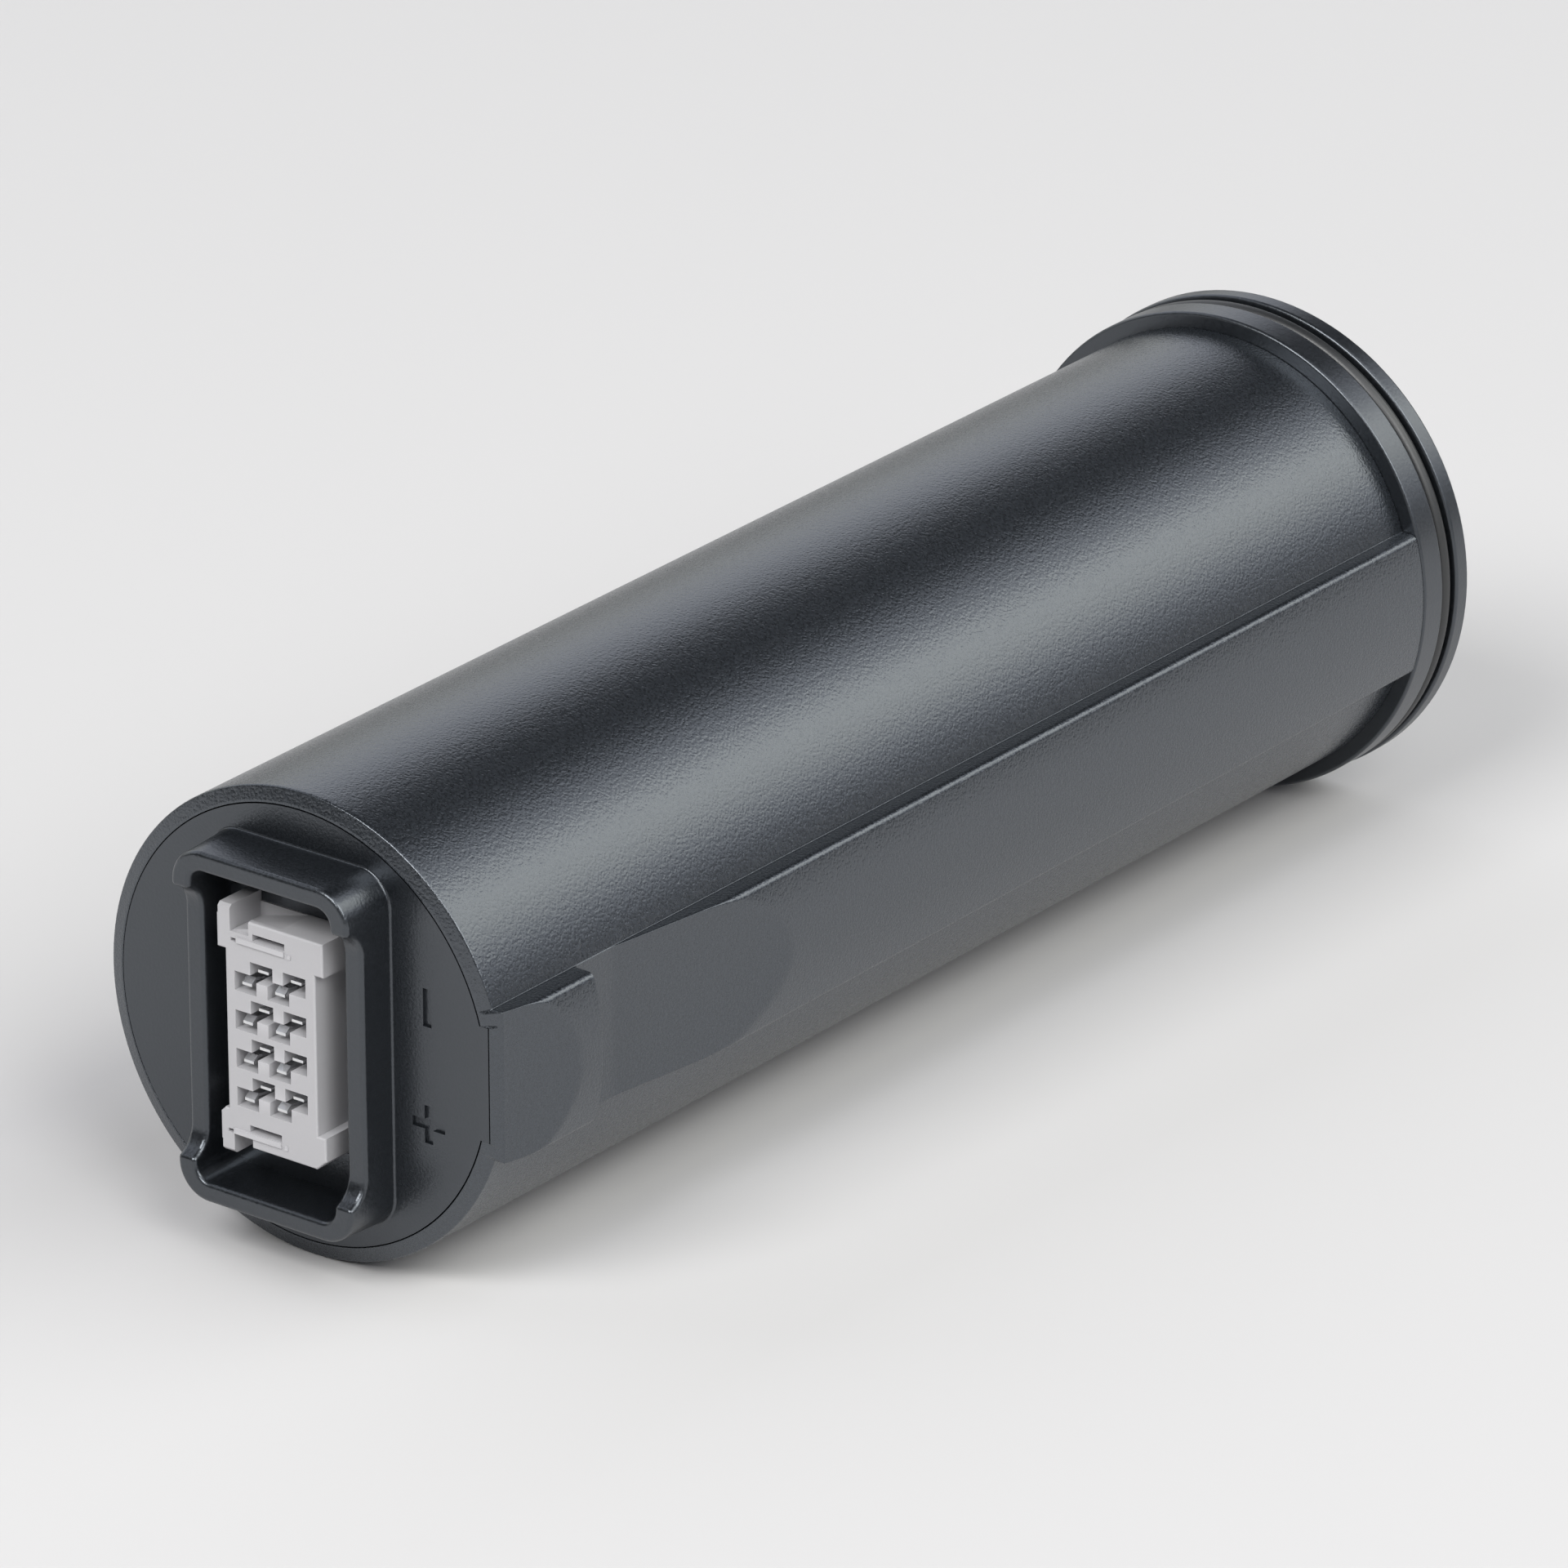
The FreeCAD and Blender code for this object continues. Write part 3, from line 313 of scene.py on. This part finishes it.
def bump(material, shader, *layers):
    """Stacks bump layers, each a (height field, depth in metres) pair."""
    nodes, links = material.node_tree.nodes, material.node_tree.links
    normal = None
    for height, depth in layers:
        node = nodes.new("ShaderNodeBump")
        node.inputs["Strength"].default_value = 1
        node.inputs["Distance"].default_value = depth
        links.new(height, node.inputs["Height"])
        if normal is not None:
            links.new(normal, node.inputs["Normal"])
        normal = node.outputs["Normal"]
    links.new(normal, shader.inputs["Normal"])


def edge_wear(material, shader, mix, color):
    """Lightens the piece where its surface turns sharply outwards, along edges and corners."""
    nodes, links = material.node_tree.nodes, material.node_tree.links
    geometry = nodes.new("ShaderNodeNewGeometry")
    worn = nodes.new("ShaderNodeMapRange")
    worn.inputs["From Min"].default_value = WEAR_START
    worn.inputs["From Max"].default_value = WEAR_FULL
    worn.inputs["To Max"].default_value = WEAR_SHARE
    links.new(geometry.outputs["Pointiness"], worn.inputs["Value"])
    top = nodes.new("ShaderNodeMix")
    top.data_type = "RGBA"
    top.inputs["B"].default_value = (*color, 1)
    links.new(worn.outputs["Result"], top.inputs["Factor"])
    links.new(mix.outputs["Result"], top.inputs["A"])
    links.new(top.outputs["Result"], shader.inputs["Base Color"])


def plastic(name, color, roughness, grain, depth, ior, drift, tint):
    """Moulded plastic: spark-eroded grain, drifting gloss and colour, edges rubbed paler."""
    material, shader = new_material(name, color, roughness, ior=ior, tint=tint)
    fine = object_noise(material, grain * MM, 1)
    coarse = object_noise(material, grain * MM * COARSE_GRAIN, 2)
    low, high = roughness * (1 - GRAIN_GLOSS_DRIFT), roughness * (1 + GRAIN_GLOSS_DRIFT)
    gloss = remap(material, fine, low, high)
    material.node_tree.links.new(gloss, shader.inputs["Roughness"])
    mix = vary_color(material, shader, color, fine, drift)
    edge_wear(material, shader, mix, [c * WORN_GAIN + WORN_ADD for c in color])
    bump(material, shader, (coarse, depth * MM * COARSE_DEPTH), (fine, depth * MM))
    return material


def metal(name, color, roughness, scratch, depth, stretch):
    """Bare or plated metal: fine drawn lines, patches of duller finish and slight tarnish."""
    material, shader = new_material(name, color, roughness, metallic=1.0)
    lines = object_noise(material, scratch * MM, 4, stretch)
    patches = object_noise(material, PATCH_SIZE, 3)
    low, high = PATCH_GLOSS
    gloss = remap(material, patches, roughness * low, roughness * high)
    material.node_tree.links.new(gloss, shader.inputs["Roughness"])
    vary_color(material, shader, color, patches, TARNISH)
    bump(material, shader, (lines, depth * MM))
    return material


def fibre(name, color, roughness, size, depth):
    """Foam, fibre paper or laminate: a matt surface with a soft irregular texture."""
    material, shader = new_material(name, color, roughness)
    strands = object_noise(material, size * MM, 5)
    cloud = object_noise(material, size * MM * CLOUD_SIZE, 3)
    vary_color(material, shader, color, cloud, CLOUD_DRIFT)
    low, high = roughness * (1 - STRAND_GLOSS_DRIFT), min(1, roughness * (1 + STRAND_GLOSS_DRIFT))
    gloss = remap(material, strands, low, high)
    material.node_tree.links.new(gloss, shader.inputs["Roughness"])
    bump(material, shader, (strands, depth * MM))
    return material


def make_finishes():
    """All finishes by name."""
    finishes = {}
    for make, table in ((plastic, PLASTICS), (metal, METALS), (fibre, FIBRES)):
        for name, values in table.items():
            finishes[name] = make(name, *values)
    return finishes


def finish_nodes(finishes):
    """Gives every carried-over CAD node its finish."""
    for name, node in NODES.items():
        finish = next(finish for start, finish in NODE_FINISHES if name.startswith(start))
        node.data.materials.clear()
        node.data.materials.append(finishes[finish])


# ---- moulded pieces -----------------------------------------------------------------------------
FULL_TURN = 2 * math.pi
RAIL_SIDE_COS = 0.5            # only the part of the turn with a larger cosine can carry the rail
LEAST_SIN = 0.02
LEAST_COS = 0.3
CREST_SLACK = 0.01             # keeps the crest's plane just clear of the rail's face
CREST_BLEND = 0.25
NOTCH_BLEND = 0.15
ROOT_BLEND = 0.25
CUT_BLEND = 0.12
RIM_EDGE_TURN = math.radians(78)
RIM_EDGE_ROWS = 7
RIM_FRONT_ROWS = 6
RIM_INNER_Y = 0.02             # where the rim's hollowed front ends, above the seat's bevel
SEAT_EDGE = 0.1
# The rows of the seat's bevel and wall: how far each stands out from the seat, and its y.
SEAT_ROWS = ((SEAT_EDGE, 0.01), (0.03, 0.03), (0, 0.12), (0, 1.3), (0, SEAT_Y))
BORE_ROWS = 12
BORE_START = 0.5               # the first row of the bore, from the bottom of the seat
STEP_BEHIND = 0.02             # the rows just behind and before the step keep it sharp
STEP_BEFORE = 0.001
END_EDGE = 0.12                # the rows just before and behind the tube's end keep it sharp
END_BODY = 0.4
END_BEHIND = 0.02
MOULD_LINE = 0.02
MOULD_LINE_WIDTH = 0.09
MOULD_LINE_REACH = 0.3
MOULD_LINE_COLUMNS = 25
SECTION_COLUMNS = 50
RING_ROWS = 360


def smooth_min(a, b, reach):
    """The smaller of two fields, blended over the given reach where they're nearly equal."""
    near = np.clip(reach - np.abs(a - b), 0, None) / reach
    return np.minimum(a, b) - near * near * reach / 4


def smooth_max(a, b, reach):
    return -smooth_min(-a, -b, reach)


def add_piece(name, points, material, node):
    """A mesh on a grid of points (rows, columns, 3) in millimetres, closed in both ways."""
    rows, columns = points.shape[:2]
    index = np.arange(rows * columns).reshape(rows, columns)
    index = np.concatenate([index, index[:1]], axis=0)
    index = np.concatenate([index, index[:, :1]], axis=1)
    quads = np.stack([index[:-1, :-1], index[:-1, 1:], index[1:, 1:], index[1:, :-1]], axis=-1)
    quads = quads.reshape(-1, 4)
    mesh = bpy.data.meshes.new(name)
    mesh.vertices.add(rows * columns)
    mesh.vertices.foreach_set("co", (points.reshape(-1) * MM).astype(np.float32))
    mesh.loops.add(quads.size)
    mesh.loops.foreach_set("vertex_index", quads.reshape(-1).astype(np.int32))
    mesh.polygons.add(len(quads))
    mesh.polygons.foreach_set("loop_start", np.arange(0, quads.size, 4, dtype=np.int32))
    mesh.polygons.foreach_set("use_smooth", np.ones(len(quads), dtype=bool))
    mesh.update(calc_edges=True)
    mesh.validate()
    mesh.materials.append(material)
    piece = bpy.data.objects.new(name, mesh)
    bpy.context.scene.collection.objects.link(piece)
    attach(piece, "root")
    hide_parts(node)
    return piece


def rail_face_limit(y):
    """How far out the rail may reach at y: lead-in ramp, crest, sharp step, flat floor, long ramp."""
    lead_in = RAMP_FOOT_X + (RAIL_R - RAMP_FOOT_X) * (y - TUBE_FRONT_Y) / (CREST_Y - TUBE_FRONT_Y)
    into_edge = np.clip((y - (STEP_Y - STEP_EDGE_R)) / STEP_EDGE_R, 0, 1)
    rounded = RAIL_R + CREST_SLACK - STEP_EDGE_R * (1 - np.sqrt(1 - into_edge ** 2))
    before_step = smooth_min(lead_in, rounded, CREST_BLEND)
    rise = (RAIL_R - NOTCH_FLOOR_X) / (RAMP_END_Y - NOTCH_END_Y)
    long_ramp = NOTCH_FLOOR_X + rise * (y - NOTCH_END_Y)
    after_step = smooth_max(NOTCH_FLOOR_X + 0 * y, long_ramp, NOTCH_BLEND)
    return np.where(y < STEP_Y, before_step, after_step)


def edge_centre():
    """The (x, z) of the centre line of the rail's rounded long edge."""
    z = RAIL_HALF - RAIL_EDGE_R
    return math.sqrt((RAIL_R - RAIL_EDGE_R) ** 2 - z * z), z


def rounded_rail(turn):
    """The radius of the rail's face and its rounded edge.

    On the edge it is c * cos(d) + sqrt(r^2 - (c * sin(d))^2), with r the edge's radius, c the
    distance of its centre line from the axis and d the angle from that centre line.
    """
    x, z = edge_centre()
    d = turn - math.atan2(z, x)
    c = RAIL_R - RAIL_EDGE_R
    arc = c * np.cos(d) + np.sqrt(np.clip(RAIL_EDGE_R ** 2 - (c * np.sin(d)) ** 2, 0, None))
    return np.where(d > 0, arc, RAIL_R)


def outer_radius(turn, y):
    """The housing's outer radius at an angle from the rail and a place along the axis.

    The drafted tube, or where it is higher the rail: its cylinder, then its rounded long edge,
    then its flat side at half_width / sin(angle). Both are cut by the plane of the ramps and the
    notch, limit / cos(angle). The meetings with the tube and with that plane are blended.
    """
    tube = TUBE_R + TUBE_DRAFT * (y - TUBE_FRONT_Y) + 0 * turn
    side = RAIL_HALF / np.maximum(np.abs(np.sin(turn)), LEAST_SIN)
    faces_rail = np.cos(turn) > RAIL_SIDE_COS
    side = np.where(faces_rail, side, 0)
    edge_end = math.atan2(RAIL_HALF, edge_centre()[0])
    rail = np.where(np.abs(turn) < edge_end, rounded_rail(np.abs(turn)), side)
    body = np.where(faces_rail, smooth_max(tube, rail, ROOT_BLEND), tube)
    plane = rail_face_limit(y) / np.maximum(np.cos(turn), LEAST_COS)
    return np.where(faces_rail, smooth_min(body, plane, CUT_BLEND), body)


def spread(*stops):
    """Grid lines through the given (place, count to the next place) stops."""
    parts = []
    for (start, count), (end, _) in zip(stops, stops[1:]):
        parts.append(np.linspace(start, end, count, endpoint=False))
    return np.concatenate(parts + [[stops[-1][0]]])


def housing_grid():
    """The housing as one closed grid: round the axis in one way, along its profile in the other.

    The profile runs forward along the outside, over the rim's rounded edge, down the rim's
    slightly hollowed front, into the seat for the cover and its key tab, and back along the bore
    to the spigot behind. Only the rows on the outside follow the rail. The grid lines lie closest
    along the rail's rounded edge and foot and across the crest and the step.
    """
    half = spread((0, 40), (12, 12), (15.7, 36), (18.2, 14), (19.4, 12), (24, 40), (90, 36), (180, 0))
    degrees = np.concatenate([half[:-1], -half[:0:-1]])
    turn = np.radians(degrees)[None, :]

    rim_y = TUBE_FRONT_Y + RIM_EDGE_R
    y = spread(
        (TUBE_END_Y, 1), (TUBE_END_Y - END_EDGE, 1), (TUBE_END_Y - END_BODY, 34), (64, 8),
        (60, 26), (28, 8), (26, 12), (STEP_Y + STEP_BEHIND, 1), (STEP_Y - STEP_BEFORE, 12),
        (STEP_Y - STEP_EDGE_R, 6), (16, 8), (14.4, 10), (13.4, 20), (rim_y, 0),
    )[:, None]
    outer_r = np.broadcast_to(outer_radius(turn, y), (len(y), turn.size))
    outer_y = np.broadcast_to(y, outer_r.shape)

    arc = np.linspace(0, RIM_EDGE_TURN, RIM_EDGE_ROWS)[1:, None]
    edge_r = outer_r[-1:] - RIM_EDGE_R * (1 - np.cos(arc))
    edge_y = rim_y - RIM_EDGE_R * np.sin(arc) + 0 * turn

    in_key = (np.abs(KEY_X * np.tan(turn)) < KEY_HALF) & (np.cos(turn) > 0)
    seat = np.where(in_key, KEY_X / np.cos(turn), SEAT_R)
    share = np.linspace(0, 1, RIM_FRONT_ROWS)[1:-1, None]
    front_r = edge_r[-1:] * (1 - share) + (seat + SEAT_EDGE) * share
    front_y = edge_y[-1:] * (1 - share) + RIM_INNER_Y * share

    bore_y = np.linspace(SEAT_Y + BORE_START, SPIGOT_END_Y, BORE_ROWS)
    inside = [(seat + proud, place) for proud, place in SEAT_ROWS]
    inside += [(TUBE_BORE_R, place) for place in (SEAT_Y, *bore_y)]
    inside += [(SPIGOT_R, place) for place in (SPIGOT_END_Y, TUBE_END_Y + END_BEHIND, TUBE_END_Y)]
    inner_r = np.concatenate([radius + 0 * turn for radius, _ in inside], axis=0)
    inner_y = np.concatenate([place + 0 * turn for _, place in inside], axis=0)

    radius = np.concatenate([outer_r, edge_r, front_r, inner_r], axis=0)
    along = np.concatenate([outer_y, edge_y, front_y, inner_y], axis=0)
    return np.stack([radius * np.cos(turn), along, radius * np.sin(turn)], axis=-1)


def seal_ring_grid():
    """The seal ring: a torus whose round section carries a thin mould line on its outside.

    The section's radius is cord + line * exp(-(angle / width)^2), with the angle from outwards.
    """
    around = np.linspace(0, FULL_TURN, RING_ROWS, endpoint=False)[:, None]
    near_line = np.linspace(-MOULD_LINE_REACH, MOULD_LINE_REACH, MOULD_LINE_COLUMNS)
    the_rest = np.linspace(MOULD_LINE_REACH, FULL_TURN - MOULD_LINE_REACH, SECTION_COLUMNS)
    section = np.concatenate([near_line, the_rest[1:-1]])[None, :]
    offset = np.where(section > math.pi, section - FULL_TURN, section)
    cord_r = SEAL_CORD_R + MOULD_LINE * np.exp(-(offset / MOULD_LINE_WIDTH) ** 2)
    radius = GROOVE_FLOOR_R + SEAL_CORD_R + cord_r * np.cos(section)
    along = SEAL_Y + cord_r * np.sin(section) + 0 * around
    return np.stack([radius * np.cos(around), along, radius * np.sin(around)], axis=-1)


# ---- the scene ----------------------------------------------------------------------------------
add_camera()
add_floor()
add_lights()
finishes = make_finishes()
finish_nodes(finishes)
add_piece("housing_shell", housing_grid(), finishes["housing_plastic"], "housing_tube")
add_piece("moulded_seal", seal_ring_grid(), finishes["seal_rubber"], "seal_ring")
